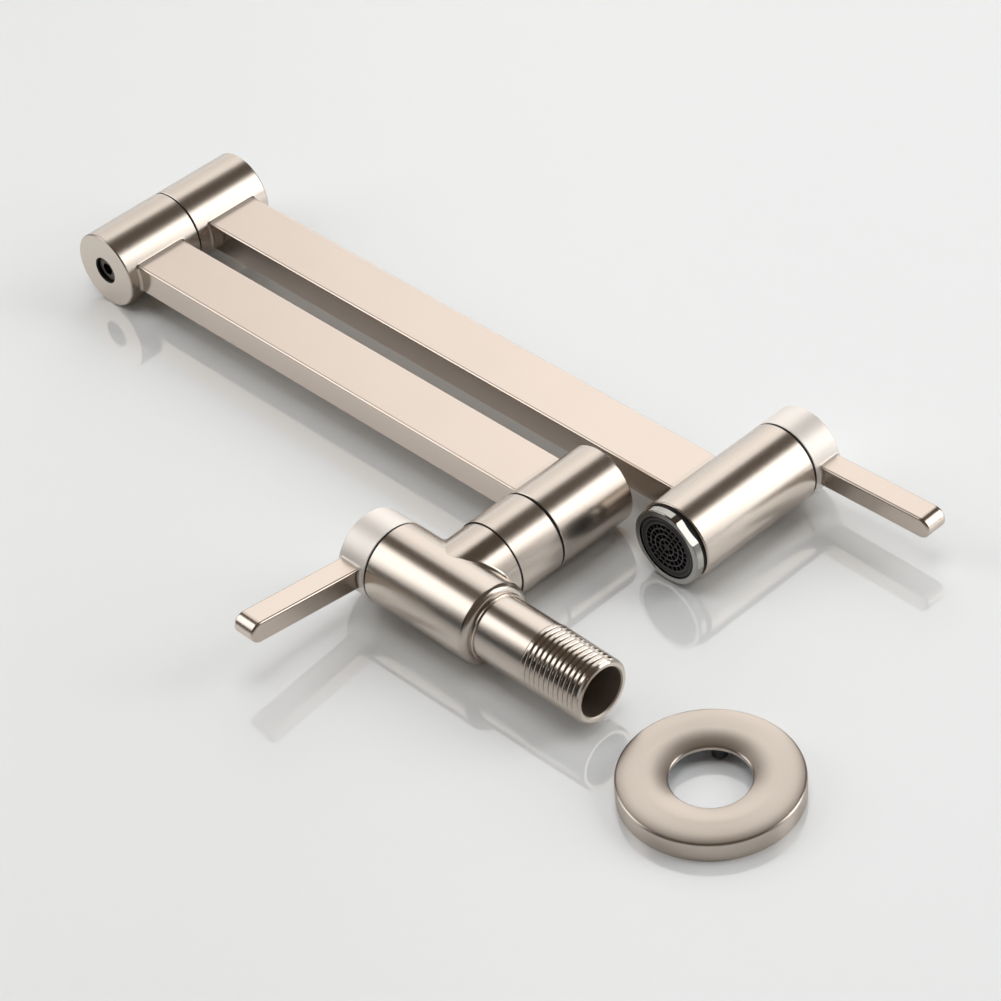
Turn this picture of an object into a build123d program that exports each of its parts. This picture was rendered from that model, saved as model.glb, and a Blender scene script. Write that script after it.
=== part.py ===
"""Folding wall-mounted kitchen tap with two swivelling arms, modelled as it lies folded on a table.

X runs along the inlet and out of its thread, towards the wall when the tap is installed.
Y runs along the two swivel axes and points up when the tap is installed.
Z points up from the table. The origin is on the inlet's axis, where its thread starts.
Lengths are in millimetres and angles in degrees.
"""

import os
from math import cos, radians, sin, sqrt

from build123d import *

os.makedirs("parts", exist_ok=True)

# Clearances
running_fit = 0.05
fixed_fit = 0.03
lapped_gap = 0.05
end_gap = 0.3

# Round housings
tube_radius = 13.0
edge_round = 0.5
seam_chamfer = 0.15
inlet_reach = 40.5
barrel_left_length = 19.9
barrel_right_length = 21.0
shoulder_round = 2.2
neck_radius = 12.7
neck_level = 18.8
branch_round = 1.6
collar_length = 16.4
swivel_washer_thickness = 0.8
knuckle_length = 28.6
elbow_lower_length = 29.7
elbow_washer_thickness = 0.5
elbow_upper_length = 29.7
washer_inset = 0.35

# Arms, with the height of each bar's middle above the bottom of the housing that holds it
lower_arm_length = 197.5
spout_gap = 8.5
bar_width = 19.4
bar_thickness = 10.0
bar_corner = 0.7
bar_wall_thickness = 1.4
bar_seat_distance = 10.8
bar_root_round = 1.0
bar_root_land = 0.3
bar_spigot_step = 0.6
knuckle_bar_height = 15.15
elbow_bar_height = 14.0
upper_bar_height = 14.55
spout_bar_height = 22.4

# Inlet nipple
nipple_radius = 10.2
thread_radius = 10.45
thread_length = 22.0
thread_chamfer = 1.0
nipple_bore_radius = 7.9
spigot_radius = 9.0
spigot_length = 7.5
nipple_ring_length = 1.0
nipple_ring_chamfer = 0.25

# Water ways and swivel posts
water_radius = 5.0
post_radius = 8.0
post_bore_radius = 4.5
post_port_radius = 2.6
post_socket_depth = 6.8
post_head_height = 9.0
chamber_radius = 9.6
chamber_half_height = 4.0
window_width = 7.0
window_height = 5.0
groove_depth = 1.1
seal_half_width = 0.8
seal_section_radius = 0.52
swivel_seal_drop_height = 11.5
swivel_seal_rise_height = 6.5
elbow_seal_drop_height = 5.7
elbow_seal_rise_height = 6.2
catch_drop_height = 7.6
catch_half_width = 1.4
knuckle_screw_radius = 2.0
knuckle_screw_tip_radius = 1.1
knuckle_screw_tip_length = 1.2
screw_sink_depth = 0.4
hex_key_radius = 1.25
hex_key_depth = 1.6

# Elbow screw
screw_recess_radius = 4.7
screw_bush_wall = 0.35
screw_bush_sink = 0.3
screw_recess_depth = 4.5
screw_head_radius = 4.0
screw_head_height = 3.4
screw_shank_radius = 2.5
screw_key_radius = 2.3
screw_key_depth = 1.8
screw_grip_length = 4.0
elbow_floor_thickness = 2.0
elbow_post_head_height = 8.0

# Headworks, alike in the valve and in the spout; depths are measured from the handle seam
mouth_radius = 10.6
bonnet_depth = 6.0
bonnet_sink_depth = 0.8
bonnet_key_radius = 6.0
bonnet_key_depth = 2.4
cartridge_radius = 9.15
cartridge_depth = 32.0
cartridge_land_length = 5.5
cartridge_neck_length = 6.0
waist_radius = 7.9
side_window_width = 8.0
side_window_height = 8.0
disc_radius = 7.0
disc_thickness = 3.0
disc_port_radius = 1.9
disc_port_distance = 3.9
seat_seal_thickness = 1.5
seat_seal_bore_radius = 5.2
stem_radius = 3.9
stem_foot_thickness = 2.0
stem_flat_distance = 2.6
stem_groove_depth = 1.0
stem_seal_section_radius = 0.47
tongue_length = 9.0
tongue_width = 2.4
tongue_depth = 1.2

# Handles
handle_seam = 0.8
glide_ring_inset = 0.15
glide_ring_width = 1.5
hub_length = 10.8
hub_recess_radius = 10.0
hub_recess_depth = 2.0
hub_roof_thickness = 2.5
lever_reach = 54.0
lever_height = 7.0
lever_thickness = 8.2
lever_inset = 1.3
lever_round = 0.8
lever_root_round = 0.7
valve_lever_lift = 7.7
spout_lever_lift = 1.4
grub_radius = 2.0
grub_height = 5.5

# Spout and aerator
spout_length = 46.7
outlet_radius = 6.0
aerator_bore_radius = 11.7
aerator_depth = 8.4
aerator_drop_height = 3.8
aerator_flange_radius = 12.4
aerator_flange_height = 2.6
aerator_edge_round = 0.4
aerator_barrel_length = 7.0
aerator_wall_thickness = 0.8
aerator_lip_width = 0.35
aerator_lip_height = 0.8
flat_depth = 0.7
flat_turn = -50.0
grille_sink_depth = 0.3
grille_height = 2.4
grille_rings = 4
grille_spokes = 6
grille_web_width = 0.5
grille_border_width = 1.9
grille_groove_width = 0.5
strainer_height = 1.6
strainer_hole_radius = 0.9
strainer_hole_distance = 5.0
strainer_count = 8

# Escutcheon, loose on the table
escutcheon_x = 61.4
escutcheon_y = 0.9
escutcheon_radius = 26.3
escutcheon_wall_thickness = 1.2
escutcheon_rim_height = 5.6
escutcheon_crest_height = 7.4
escutcheon_crest_radius = 18.5
escutcheon_hole_radius = 11.5
escutcheon_lip_drop_height = 1.9
escutcheon_edge_round = 0.8
tab_radius = 2.3
tab_length = 4.0
tab_angle = 122.5
plate_seal_radius = 17.0
plate_seal_height = 4.0

# Places worked out from the sizes
pivot_x = -inlet_reach
elbow_x = pivot_x - lower_arm_length
upper_arm_length = lower_arm_length + 2 * tube_radius + spout_gap
spout_x = elbow_x + upper_arm_length
table_z = -tube_radius

collar_top = neck_level + collar_length
knuckle_bottom = collar_top + swivel_washer_thickness + running_fit
lower_bar_level = knuckle_bottom + knuckle_bar_height
elbow_bottom = lower_bar_level - elbow_bar_height
elbow_lower_top = elbow_bottom + elbow_lower_length
elbow_washer_top = elbow_lower_top + elbow_washer_thickness
elbow_upper_bottom = elbow_washer_top + running_fit
upper_bar_level = elbow_upper_bottom + upper_bar_height
spout_bottom = upper_bar_level - spout_bar_height
spout_top = spout_bottom + spout_length

bar_root_distance = tube_radius + bar_root_round + bar_root_land
spigot_width = bar_width - 2 * bar_spigot_step
spigot_thickness = bar_thickness - 2 * bar_spigot_step

swivel_profile = Plane(origin=(pivot_x, 0, 0))
elbow_profile = Plane(origin=(elbow_x, 0, 0))
spout_profile = Plane(origin=(spout_x, 0, 0))
swivel_axis = Axis((pivot_x, 0, 0), (0, 1, 0))
elbow_axis = Axis((elbow_x, 0, 0), (0, 1, 0))
spout_axis = Axis((spout_x, 0, 0), (0, 1, 0))

# A seat is the plane of a handle seam: its Z leaves the housing and its X is the way the lever points
valve_lever_way = (0, -cos(radians(valve_lever_lift)), sin(radians(valve_lever_lift)))
valve_seat = Plane(origin=(pivot_x - barrel_left_length, 0, 0), x_dir=valve_lever_way, z_dir=(-1, 0, 0))
spout_lever_way = (cos(radians(spout_lever_lift)), 0, sin(radians(spout_lever_lift)))
spout_seat = Plane(origin=(spout_x, spout_top, 0), x_dir=spout_lever_way, z_dir=(0, 1, 0))


def level_plane(axis_x, level):
    """The plane across an upright axis at a level, facing up along it."""
    return Plane(origin=(axis_x, level, 0), x_dir=(1, 0, 0), z_dir=(0, 1, 0))


def side_plane(axis_x, level, side, distance):
    """The plane across the bars at a distance from an upright axis, facing away from that axis."""
    return Plane(origin=(axis_x + side * distance, level, 0), x_dir=(0, 1, 0), z_dir=(side, 0, 0))


def bar_root(axis_x, level, side):
    """The outline of the boss that carries a bar's section out of a housing."""
    with BuildSketch(side_plane(axis_x, level, side, 0)) as root:
        RectangleRounded(bar_width, bar_thickness, bar_corner)
    return root.sketch


def bar_root_edges(housing, axis_x, level, side):
    """The edges where a boss leaves its housing, which all lie on the tube."""
    nearest = sqrt(tube_radius**2 - bar_thickness**2 / 4) - running_fit
    return housing.edges().filter_by(
        lambda edge: nearest < side * (edge.center().X - axis_x) < tube_radius + running_fit
        and abs(edge.center().Y - level) < bar_width / 2 + running_fit
    )


def bar_socket(axis_x, level, side):
    """The outline of the socket that takes the spigot at a bar's end."""
    with BuildSketch(side_plane(axis_x, level, side, bar_seat_distance)) as socket:
        Rectangle(spigot_width + 2 * fixed_fit, spigot_thickness + 2 * fixed_fit)
    return socket.sketch


def bar_window(axis_x, level, side):
    """The outline of the water window behind a bar's end."""
    with BuildSketch(side_plane(axis_x, level, side, bar_seat_distance)) as window:
        Rectangle(window_width, window_height)
    return window.sketch


def finish(piece, name):
    """Label a finished piece and write it under its name."""
    piece.part.label = name
    export_step(piece.part, f"parts/{name}.step")


# Valve body: a barrel with an upright neck, bored for the cartridge, the nipple and the swivel post
inlet_face = cartridge_depth - barrel_left_length
with BuildPart() as valve_body:
    with BuildSketch(Plane.YZ.offset(pivot_x - barrel_left_length)):
        Circle(tube_radius)
    extrude(amount=barrel_left_length + barrel_right_length)
    fillet(valve_body.edges().sort_by(Axis.X)[-1], shoulder_round)
    with BuildSketch(level_plane(pivot_x, 0)):
        Circle(neck_radius)
    extrude(amount=neck_level)
    branch_edges = valve_body.edges().filter_by(
        lambda edge: edge.geom_type not in (GeomType.CIRCLE, GeomType.LINE)
    )
    fillet(branch_edges, branch_round)
    chamfer(valve_body.edges().sort_by(Axis.Y)[-1], seam_chamfer)
    with BuildSketch(valve_seat):
        Circle(mouth_radius)
    extrude(amount=-bonnet_depth, mode=Mode.SUBTRACT)
    with BuildSketch(valve_seat):
        Circle(cartridge_radius + running_fit)
    extrude(amount=-cartridge_depth, mode=Mode.SUBTRACT)
    with BuildSketch(Plane.YZ.offset(pivot_x + inlet_face)):
        Circle(outlet_radius)
    extrude(amount=barrel_right_length - inlet_face, mode=Mode.SUBTRACT)
    with BuildSketch(Plane.YZ.offset(pivot_x + barrel_right_length)):
        Circle(spigot_radius + fixed_fit)
    extrude(amount=-spigot_length, mode=Mode.SUBTRACT)
    with BuildSketch(level_plane(pivot_x, 0)):
        Circle(water_radius)
    extrude(amount=neck_level, mode=Mode.SUBTRACT)
    with BuildSketch(level_plane(pivot_x, neck_level)):
        Circle(post_radius + fixed_fit)
    extrude(amount=-post_socket_depth, mode=Mode.SUBTRACT)
finish(valve_body, "valve_body")

# Inlet nipple: a turned tube with a spigot in the body, a thin ring on the body's flat end and a length for
# the thread
shoulder_x = pivot_x + barrel_right_length
ring_end_x = shoulder_x + nipple_ring_length
nipple_ring_radius = tube_radius - shoulder_round
with BuildPart() as inlet_nipple:
    with BuildSketch():
        with BuildLine():
            Polyline(
                (shoulder_x - spigot_length, nipple_bore_radius),
                (shoulder_x - spigot_length, spigot_radius),
                (shoulder_x, spigot_radius),
                (shoulder_x, nipple_ring_radius),
                (ring_end_x - nipple_ring_chamfer, nipple_ring_radius),
                (ring_end_x, nipple_ring_radius - nipple_ring_chamfer),
                (ring_end_x, nipple_radius),
                (0, nipple_radius),
                (0, thread_radius),
                (thread_length - thread_chamfer, thread_radius),
                (thread_length, thread_radius - thread_chamfer),
                (thread_length, nipple_bore_radius),
                close=True,
            )
        make_face()
    revolve(axis=Axis.X)
finish(inlet_nipple, "inlet_nipple")

# Swivel collar: the bearing ring on the neck
with BuildPart() as swivel_collar:
    with BuildSketch(level_plane(pivot_x, neck_level)):
        Circle(tube_radius)
        Circle(post_radius + running_fit, mode=Mode.SUBTRACT)
    extrude(amount=collar_length)
    outer_edges = swivel_collar.edges().filter_by(GeomType.CIRCLE).sort_by(SortBy.RADIUS)[-2:]
    chamfer(outer_edges, seam_chamfer)
finish(swivel_collar, "swivel_collar")

# Swivel washer: the slippery ring that the knuckle turns on
with BuildPart() as swivel_washer:
    with BuildSketch(level_plane(pivot_x, collar_top)):
        Circle(tube_radius - washer_inset)
        Circle(post_radius + running_fit, mode=Mode.SUBTRACT)
    extrude(amount=swivel_washer_thickness)
finish(swivel_washer, "swivel_washer")

# Swivel post: the hollow spindle that stands in the neck and feeds the lower bar
post_foot = neck_level - post_socket_depth
post_top = lower_bar_level + post_head_height
catch_level = lower_bar_level - catch_drop_height
swivel_seal_levels = (lower_bar_level - swivel_seal_drop_height, lower_bar_level + swivel_seal_rise_height)
with BuildPart() as swivel_post:
    with BuildSketch(level_plane(pivot_x, post_foot)):
        Circle(post_radius)
    extrude(amount=post_top - post_foot)
    with BuildSketch(level_plane(pivot_x, post_foot)):
        Circle(post_bore_radius)
    extrude(amount=lower_bar_level + post_port_radius - post_foot, mode=Mode.SUBTRACT)
    with BuildSketch(Plane.YZ.offset(pivot_x)):
        with Locations((lower_bar_level, 0)):
            Circle(post_port_radius)
    extrude(amount=post_radius, both=True, mode=Mode.SUBTRACT)
    for level in swivel_seal_levels:
        with BuildSketch(level_plane(pivot_x, level)):
            Circle(post_radius)
            Circle(post_radius - groove_depth, mode=Mode.SUBTRACT)
        extrude(amount=seal_half_width, both=True, mode=Mode.SUBTRACT)
    with BuildSketch(level_plane(pivot_x, catch_level)):
        Circle(post_radius)
        Circle(post_radius - groove_depth, mode=Mode.SUBTRACT)
    extrude(amount=catch_half_width, both=True, mode=Mode.SUBTRACT)
finish(swivel_post, "swivel_post")

# Swivel seals: two rubber rings in the post's grooves
with BuildPart() as swivel_seals:
    with BuildSketch(swivel_profile):
        for level in swivel_seal_levels:
            with Locations((post_radius - groove_depth / 2, level)):
                Circle(seal_section_radius)
    revolve(axis=swivel_axis)
finish(swivel_seals, "swivel_seals")

# Knuckle: the closed cap of the lower arm, turning on the post
with BuildPart() as knuckle:
    with BuildSketch(level_plane(pivot_x, knuckle_bottom)):
        Circle(tube_radius)
    extrude(amount=knuckle_length)
    extrude(bar_root(pivot_x, lower_bar_level, -1), amount=bar_root_distance)
    fillet(bar_root_edges(knuckle, pivot_x, lower_bar_level, -1), bar_root_round)
    chamfer(knuckle.edges().sort_by(Axis.Y)[0], seam_chamfer)
    fillet(knuckle.edges().sort_by(Axis.Y)[-1], edge_round)
    with BuildSketch(level_plane(pivot_x, knuckle_bottom)):
        Circle(post_radius + running_fit)
    extrude(amount=post_top + end_gap - knuckle_bottom, mode=Mode.SUBTRACT)
    with BuildSketch(level_plane(pivot_x, lower_bar_level)):
        Circle(chamber_radius)
    extrude(amount=chamber_half_height, both=True, mode=Mode.SUBTRACT)
    extrude(bar_socket(pivot_x, lower_bar_level, -1), amount=tube_radius, mode=Mode.SUBTRACT)
    extrude(bar_window(pivot_x, lower_bar_level, -1), amount=-bar_seat_distance, mode=Mode.SUBTRACT)
    with BuildSketch(Plane.XY):
        with Locations((pivot_x, catch_level)):
            Circle(knuckle_screw_radius + fixed_fit)
    extrude(amount=-tube_radius, mode=Mode.SUBTRACT)
finish(knuckle, "knuckle")

# Knuckle screw: a dog-point grub screw from below, whose tip runs in the post's catch groove
screw_top = -(post_radius - groove_depth + running_fit)
with BuildPart() as knuckle_screw:
    with BuildSketch(Plane.XY.offset(screw_top - knuckle_screw_tip_length)):
        with Locations((pivot_x, catch_level)):
            Circle(knuckle_screw_radius)
    extrude(amount=-(tube_radius - screw_sink_depth + screw_top - knuckle_screw_tip_length))
    with BuildSketch(Plane.XY.offset(screw_top)):
        with Locations((pivot_x, catch_level)):
            Circle(knuckle_screw_tip_radius)
    extrude(amount=-knuckle_screw_tip_length)
    with BuildSketch(Plane.XY.offset(screw_sink_depth - tube_radius)):
        with Locations((pivot_x, catch_level)):
            RegularPolygon(hex_key_radius, 6)
    extrude(amount=hex_key_depth, mode=Mode.SUBTRACT)
finish(knuckle_screw, "knuckle_screw")


def make_bar(name, left_x, right_x, level):
    """A rectangular tube between two bosses, with a thinner spigot at each end in their sockets."""
    bar_length = right_x - left_x - 2 * bar_root_distance
    spigot_span = right_x - left_x - 2 * bar_seat_distance
    with BuildPart() as bar:
        with BuildSketch(side_plane(left_x, level, 1, bar_root_distance)):
            RectangleRounded(bar_width, bar_thickness, bar_corner)
        extrude(amount=bar_length)
        with BuildSketch(side_plane(left_x, level, 1, bar_seat_distance)):
            Rectangle(spigot_width, spigot_thickness)
        extrude(amount=spigot_span)
        with BuildSketch(side_plane(left_x, level, 1, bar_seat_distance)):
            Rectangle(bar_width - 2 * bar_wall_thickness, bar_thickness - 2 * bar_wall_thickness)
        extrude(amount=spigot_span, mode=Mode.SUBTRACT)
    finish(bar, name)


make_bar("lower_bar", elbow_x, pivot_x, lower_bar_level)
make_bar("upper_bar", elbow_x, spout_x, upper_bar_level)

# Elbow, lower half: the cup that the elbow post turns in, with the screw recess in its flat bottom
elbow_seat = elbow_bottom + screw_recess_depth + elbow_floor_thickness
with BuildPart() as elbow_lower:
    with BuildSketch(level_plane(elbow_x, elbow_bottom)):
        Circle(tube_radius)
    extrude(amount=elbow_lower_length)
    extrude(bar_root(elbow_x, lower_bar_level, 1), amount=bar_root_distance)
    fillet(bar_root_edges(elbow_lower, elbow_x, lower_bar_level, 1), bar_root_round)
    fillet(elbow_lower.edges().sort_by(Axis.Y)[0], edge_round)
    chamfer(elbow_lower.edges().sort_by(Axis.Y)[-1], seam_chamfer)
    with BuildSketch(level_plane(elbow_x, elbow_lower_top)):
        Circle(post_radius + running_fit)
    extrude(amount=elbow_seat - elbow_lower_top, mode=Mode.SUBTRACT)
    with BuildSketch(level_plane(elbow_x, lower_bar_level)):
        Circle(chamber_radius)
    extrude(amount=chamber_half_height, both=True, mode=Mode.SUBTRACT)
    with BuildSketch(level_plane(elbow_x, elbow_bottom)):
        Circle(screw_recess_radius)
    extrude(amount=screw_recess_depth, mode=Mode.SUBTRACT)
    with BuildSketch(level_plane(elbow_x, elbow_bottom)):
        Circle(screw_shank_radius + running_fit)
    extrude(amount=elbow_seat - elbow_bottom, mode=Mode.SUBTRACT)
    extrude(bar_socket(elbow_x, lower_bar_level, 1), amount=tube_radius, mode=Mode.SUBTRACT)
    extrude(bar_window(elbow_x, lower_bar_level, 1), amount=-bar_seat_distance, mode=Mode.SUBTRACT)
finish(elbow_lower, "elbow_lower")

# Elbow washer: the slippery ring in the elbow's seam
with BuildPart() as elbow_washer:
    with BuildSketch(level_plane(elbow_x, elbow_lower_top)):
        Circle(tube_radius - washer_inset)
        Circle(post_radius + running_fit, mode=Mode.SUBTRACT)
    extrude(amount=elbow_washer_thickness)
finish(elbow_washer, "elbow_washer")

# Elbow, upper half: the closed cap that holds the elbow post
elbow_post_top = upper_bar_level + elbow_post_head_height
with BuildPart() as elbow_upper:
    with BuildSketch(level_plane(elbow_x, elbow_upper_bottom)):
        Circle(tube_radius)
    extrude(amount=elbow_upper_length)
    extrude(bar_root(elbow_x, upper_bar_level, 1), amount=bar_root_distance)
    fillet(bar_root_edges(elbow_upper, elbow_x, upper_bar_level, 1), bar_root_round)
    chamfer(elbow_upper.edges().sort_by(Axis.Y)[0], seam_chamfer)
    fillet(elbow_upper.edges().sort_by(Axis.Y)[-1], edge_round)
    with BuildSketch(level_plane(elbow_x, elbow_upper_bottom)):
        Circle(post_radius + fixed_fit)
    extrude(amount=elbow_post_top - elbow_upper_bottom, mode=Mode.SUBTRACT)
    with BuildSketch(level_plane(elbow_x, upper_bar_level)):
        Circle(chamber_radius)
    extrude(amount=chamber_half_height, both=True, mode=Mode.SUBTRACT)
    extrude(bar_socket(elbow_x, upper_bar_level, 1), amount=tube_radius, mode=Mode.SUBTRACT)
    extrude(bar_window(elbow_x, upper_bar_level, 1), amount=-bar_seat_distance, mode=Mode.SUBTRACT)
finish(elbow_upper, "elbow_upper")

# Elbow post: the hollow spindle that carries water from the lower bar to the upper one
elbow_post_foot = elbow_seat + running_fit
elbow_seal_levels = (lower_bar_level - elbow_seal_drop_height, lower_bar_level + elbow_seal_rise_height)
with BuildPart() as elbow_post:
    with BuildSketch(level_plane(elbow_x, elbow_post_foot)):
        Circle(post_radius)
    extrude(amount=elbow_post_top - elbow_post_foot)
    with BuildSketch(level_plane(elbow_x, elbow_post_top)):
        Circle(post_bore_radius)
    extrude(amount=lower_bar_level - post_port_radius - elbow_post_top, mode=Mode.SUBTRACT)
    with BuildSketch(Plane.YZ.offset(elbow_x)):
        with Locations((lower_bar_level, 0), (upper_bar_level, 0)):
            Circle(post_port_radius)
    extrude(amount=post_radius, both=True, mode=Mode.SUBTRACT)
    with BuildSketch(level_plane(elbow_x, elbow_post_foot)):
        Circle(screw_shank_radius + fixed_fit)
    extrude(amount=screw_grip_length, mode=Mode.SUBTRACT)
    for level in elbow_seal_levels:
        with BuildSketch(level_plane(elbow_x, level)):
            Circle(post_radius)
            Circle(post_radius - groove_depth, mode=Mode.SUBTRACT)
        extrude(amount=seal_half_width, both=True, mode=Mode.SUBTRACT)
finish(elbow_post, "elbow_post")

# Elbow seals: two rubber rings in the elbow post's grooves
with BuildPart() as elbow_seals:
    with BuildSketch(elbow_profile):
        for level in elbow_seal_levels:
            with Locations((post_radius - groove_depth / 2, level)):
                Circle(seal_section_radius)
    revolve(axis=elbow_axis)
finish(elbow_seals, "elbow_seals")

# Elbow screw: a socket-head screw that holds the two halves together from the recess
head_seat = elbow_bottom + screw_recess_depth - running_fit
with BuildPart() as elbow_screw:
    with BuildSketch(level_plane(elbow_x, head_seat)):
        Circle(screw_head_radius)
    extrude(amount=-screw_head_height)
    with BuildSketch(level_plane(elbow_x, head_seat)):
        Circle(screw_shank_radius)
    extrude(amount=elbow_post_foot + screw_grip_length - head_seat)
    with BuildSketch(level_plane(elbow_x, head_seat - screw_head_height)):
        RegularPolygon(screw_key_radius, 6)
    extrude(amount=screw_key_depth, mode=Mode.SUBTRACT)
finish(elbow_screw, "elbow_screw")

# Elbow screw bush: the black sleeve that lines the recess round the screw's head
with BuildPart() as elbow_screw_bush:
    with BuildSketch(level_plane(elbow_x, elbow_bottom + screw_bush_sink)):
        Circle(screw_recess_radius - fixed_fit)
        Circle(screw_recess_radius - fixed_fit - screw_bush_wall, mode=Mode.SUBTRACT)
    extrude(amount=screw_recess_depth - screw_bush_sink)
finish(elbow_screw_bush, "elbow_screw_bush")

# Spout body: a barrel bored from above for its headworks and from below for the aerator
cartridge_floor = spout_top - cartridge_depth
with BuildPart() as spout_body:
    with BuildSketch(level_plane(spout_x, spout_bottom)):
        Circle(tube_radius)
    extrude(amount=spout_length)
    extrude(bar_root(spout_x, upper_bar_level, -1), amount=bar_root_distance)
    fillet(bar_root_edges(spout_body, spout_x, upper_bar_level, -1), bar_root_round)
    chamfer(spout_body.edges().sort_by(Axis.Y)[-1], seam_chamfer)
    fillet(spout_body.edges().sort_by(Axis.Y)[0], edge_round)
    with BuildSketch(spout_seat):
        Circle(mouth_radius)
    extrude(amount=-bonnet_depth, mode=Mode.SUBTRACT)
    with BuildSketch(spout_seat):
        Circle(cartridge_radius + running_fit)
    extrude(amount=-cartridge_depth, mode=Mode.SUBTRACT)
    with BuildSketch(level_plane(spout_x, spout_bottom)):
        Circle(outlet_radius)
    extrude(amount=cartridge_floor - spout_bottom, mode=Mode.SUBTRACT)
    with BuildSketch(level_plane(spout_x, spout_bottom)):
        Circle(aerator_bore_radius)
    extrude(amount=aerator_depth, mode=Mode.SUBTRACT)
    extrude(bar_socket(spout_x, upper_bar_level, -1), amount=tube_radius, mode=Mode.SUBTRACT)
    extrude(bar_window(spout_x, upper_bar_level, -1), amount=-bar_seat_distance, mode=Mode.SUBTRACT)
finish(spout_body, "spout_body")

# Aerator ring: a flanged sleeve with two spanner flats, screwed into the spout
aerator_face = spout_bottom - aerator_drop_height
flange_top = aerator_face + aerator_flange_height
barrel_radius = aerator_bore_radius - running_fit
barrel_top = flange_top + aerator_barrel_length
ring_bore = barrel_radius - aerator_wall_thickness
with BuildPart() as aerator_ring:
    with BuildSketch(spout_profile) as sleeve:
        with BuildLine():
            Polyline(
                (ring_bore - aerator_lip_width, aerator_face),
                (aerator_flange_radius, aerator_face),
                (aerator_flange_radius, flange_top),
                (barrel_radius, flange_top),
                (barrel_radius, barrel_top),
                (ring_bore, barrel_top),
                (ring_bore, aerator_face + aerator_lip_height),
                (ring_bore - aerator_lip_width, aerator_face + aerator_lip_height),
                close=True,
            )
        make_face()
        fillet(sleeve.vertices().group_by(Axis.Y)[0].sort_by(Axis.X)[-1], aerator_edge_round)
    revolve(axis=spout_axis)
    with BuildSketch(level_plane(spout_x, aerator_face)):
        with PolarLocations(aerator_flange_radius, 2, start_angle=flat_turn):
            Rectangle(2 * flat_depth, 2 * aerator_flange_radius)
    extrude(amount=aerator_flange_height, mode=Mode.SUBTRACT)
finish(aerator_ring, "aerator_ring")

# Aerator gasket: the black rubber ring between the flange and the spout
with BuildPart() as aerator_gasket:
    with BuildSketch(level_plane(spout_x, flange_top)):
        Circle(aerator_flange_radius - flat_depth / 2)
        Circle(aerator_bore_radius, mode=Mode.SUBTRACT)
    extrude(amount=spout_bottom - flange_top)
finish(aerator_gasket, "aerator_gasket")

# Aerator grille: a moulded disc of ring-shaped webs and spokes, with more cells in each ring outwards
boss_radius = ring_bore - aerator_lip_width - grille_groove_width
grille_face = aerator_face + grille_sink_depth
ledge_level = aerator_face + aerator_lip_height
grille_top = ledge_level + grille_height
ring_step = (boss_radius - grille_border_width) / (grille_rings + 1 / 2)
with BuildPart() as aerator_grille:
    with BuildSketch(level_plane(spout_x, ledge_level)):
        Circle(ring_bore - running_fit)
    extrude(amount=grille_height)
    with BuildSketch(level_plane(spout_x, grille_face)):
        Circle(boss_radius)
    extrude(amount=ledge_level - grille_face)
    for ring in range(1, grille_rings + 1):
        inner = ring * ring_step - (ring_step - grille_web_width) / 2
        outer = ring * ring_step + (ring_step - grille_web_width) / 2
        with BuildSketch(level_plane(spout_x, grille_face)):
            Circle(outer)
            Circle(inner, mode=Mode.SUBTRACT)
            with PolarLocations((inner + outer) / 2, grille_spokes * ring):
                Rectangle(ring_step, grille_web_width, mode=Mode.SUBTRACT)
        extrude(amount=grille_top - grille_face, mode=Mode.SUBTRACT)
finish(aerator_grille, "aerator_grille")

# Aerator strainer: the plate that splits the flow above the grille
with BuildPart() as aerator_strainer:
    with BuildSketch(level_plane(spout_x, barrel_top - strainer_height)):
        Circle(ring_bore - running_fit)
        with PolarLocations(strainer_hole_distance, strainer_count):
            Circle(strainer_hole_radius, mode=Mode.SUBTRACT)
        Circle(strainer_hole_radius, mode=Mode.SUBTRACT)
    extrude(amount=strainer_height)
finish(aerator_strainer, "aerator_strainer")


def turning_plane(seat):
    """The plane through a seat's axis, with its X outwards from the axis and its Y along it."""
    return Plane(origin=seat.origin, x_dir=seat.x_dir, z_dir=-seat.y_dir)


def lever_root_edges(handle, seat, lever_middle):
    """The edges where a lever leaves its hub, which all lie on the hub's round side."""
    half_band = lever_thickness / 2 + running_fit

    def on_root(edge):
        place = seat.to_local_coords(edge.center())
        on_hub = abs(sqrt(place.X**2 + place.Y**2) - tube_radius) < running_fit
        return on_hub and abs(place.Z - lever_middle) < half_band

    return handle.edges().filter_by(on_root)


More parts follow.
